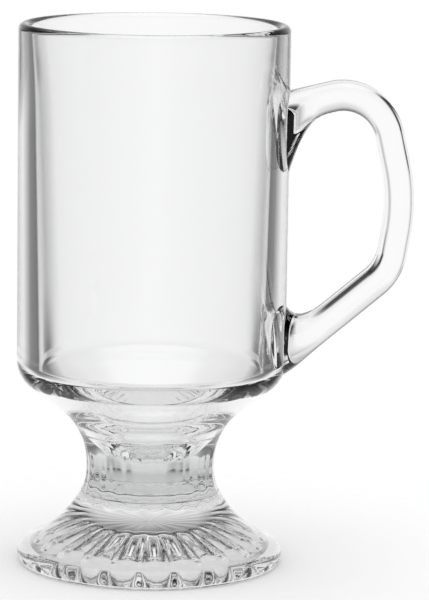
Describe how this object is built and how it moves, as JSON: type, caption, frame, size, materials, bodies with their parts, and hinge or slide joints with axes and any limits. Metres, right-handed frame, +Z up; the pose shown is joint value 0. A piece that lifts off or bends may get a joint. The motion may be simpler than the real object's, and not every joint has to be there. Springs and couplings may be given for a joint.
{
  "type": "footed glass mug",
  "caption": "Clear glass mug for hot coffee drinks: straight cup with a round lip, funnel bottom, short waisted stem, flared foot with a fluted underside and a flat strap handle.",
  "frame": {"origin": "on the mug's axis, in the plane of the bearing ring that it stands on", "axes": "+Z up along the mug's axis to the rim, +X towards the handle"},
  "size_m": [0.1088, 0.0744, 0.15],
  "materials": {
    "clear_glass": "clear colourless pressed glass, fire-polished"
  },
  "bodies": {
    "root": {"bowl": "clear_glass", "stem": "clear_glass", "foot": "clear_glass", "handle": "clear_glass"}
  },
  "joints": []
}
